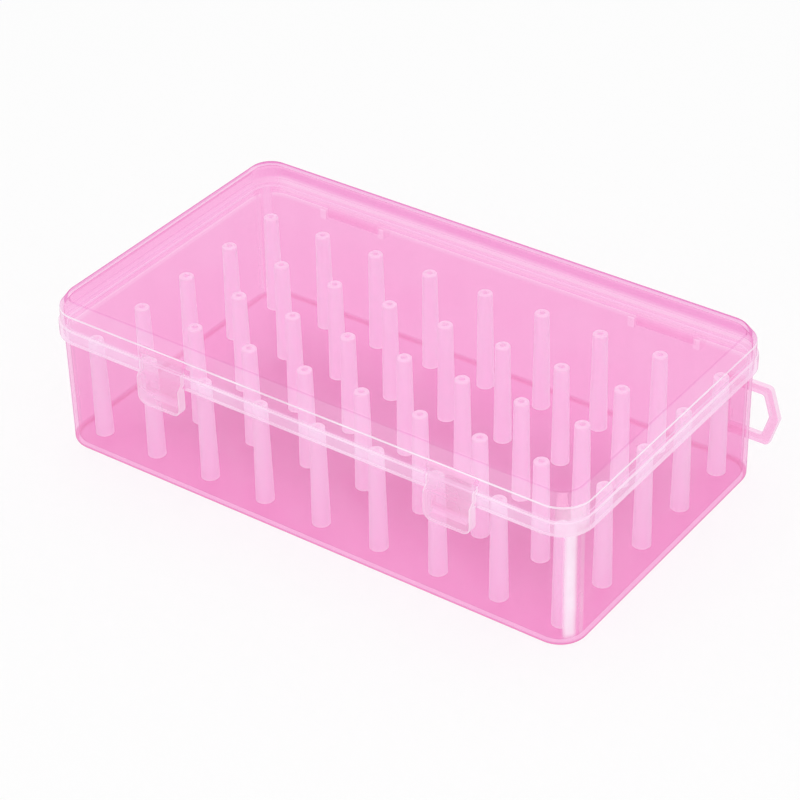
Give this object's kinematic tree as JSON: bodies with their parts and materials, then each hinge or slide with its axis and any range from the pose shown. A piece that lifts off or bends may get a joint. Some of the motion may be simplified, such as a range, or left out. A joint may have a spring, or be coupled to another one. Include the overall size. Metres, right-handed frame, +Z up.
{
  "type": "thread spool storage box",
  "caption": "Translucent rectangular box with upright spool pegs, a hinged lid, two front latches and a swinging hanging loop at one rear corner.",
  "frame": {"origin": "centre of the tray's flat underside", "axes": "+X along the long side towards the hanging loop, -Y towards the latches, +Z up"},
  "size_m": [0.2422, 0.1435, 0.066],
  "materials": {
    "tray_pink": "clear tinted, glossy",
    "lid_pink": "clear tinted, glossy",
    "latch_pink": "clear tinted, glossy",
    "hanger_pink": "clear tinted, glossy",
    "peg_milky_pink": "milky, satin gloss"
  },
  "bodies": {
    "tray": {"tray": "tray_pink", "peg_r1_c1": "peg_milky_pink", "peg_r1_c2": "peg_milky_pink", "peg_r1_c3": "peg_milky_pink", "peg_r1_c4": "peg_milky_pink", "peg_r1_c5": "peg_milky_pink", "peg_r1_c6": "peg_milky_pink", "peg_r1_c7": "peg_milky_pink", "peg_r1_c8": "peg_milky_pink", "peg_r1_c9": "peg_milky_pink", "peg_r2_c1": "peg_milky_pink", "peg_r2_c2": "peg_milky_pink", "peg_r2_c3": "peg_milky_pink", "peg_r2_c4": "peg_milky_pink", "peg_r2_c5": "peg_milky_pink", "peg_r2_c6": "peg_milky_pink", "peg_r2_c7": "peg_milky_pink", "peg_r2_c8": "peg_milky_pink", "peg_r2_c9": "peg_milky_pink", "peg_r3_c1": "peg_milky_pink", "peg_r3_c2": "peg_milky_pink", "peg_r3_c3": "peg_milky_pink", "peg_r3_c4": "peg_milky_pink", "peg_r3_c5": "peg_milky_pink", "peg_r3_c6": "peg_milky_pink", "peg_r3_c7": "peg_milky_pink", "peg_r3_c8": "peg_milky_pink", "peg_r3_c9": "peg_milky_pink", "peg_r4_c1": "peg_milky_pink", "peg_r4_c2": "peg_milky_pink", "peg_r4_c3": "peg_milky_pink", "peg_r4_c4": "peg_milky_pink", "peg_r4_c5": "peg_milky_pink", "peg_r4_c6": "peg_milky_pink", "peg_r4_c7": "peg_milky_pink", "peg_r4_c8": "peg_milky_pink", "peg_r4_c9": "peg_milky_pink", "peg_r5_c1": "peg_milky_pink", "peg_r5_c2": "peg_milky_pink", "peg_r5_c3": "peg_milky_pink", "peg_r5_c4": "peg_milky_pink", "peg_r5_c5": "peg_milky_pink", "peg_r5_c6": "peg_milky_pink", "peg_r5_c7": "peg_milky_pink", "peg_r5_c8": "peg_milky_pink", "peg_r5_c9": "peg_milky_pink"},
    "lid": {"lid": "lid_pink"},
    "latch_left": {"latch_left": "latch_pink"},
    "latch_right": {"latch_right": "latch_pink"},
    "hanger": {"hanger": "hanger_pink"}
  },
  "joints": [
    {"name": "lid_hinge", "type": "hinge", "parent": "tray", "child": "lid", "pos_m": [0, 0.0699, 0.046], "axis": [-1, 0, 0], "range_deg": [0, 110]},
    {"name": "latch_left_pivot", "type": "hinge", "parent": "lid", "child": "latch_left", "pos_m": [-0.0614, -0.0669, 0.0589], "axis": [-1, 0, 0], "range_deg": [0, 110]},
    {"name": "latch_right_pivot", "type": "hinge", "parent": "lid", "child": "latch_right", "pos_m": [0.068, -0.0669, 0.0589], "axis": [-1, 0, 0], "range_deg": [0, 110]},
    {"name": "hanger_swivel", "type": "hinge", "parent": "tray", "child": "hanger", "pos_m": [0.101, 0.0693, 0.0239], "axis": [0, 0, 1], "range_deg": [0, 180]}
  ]
}
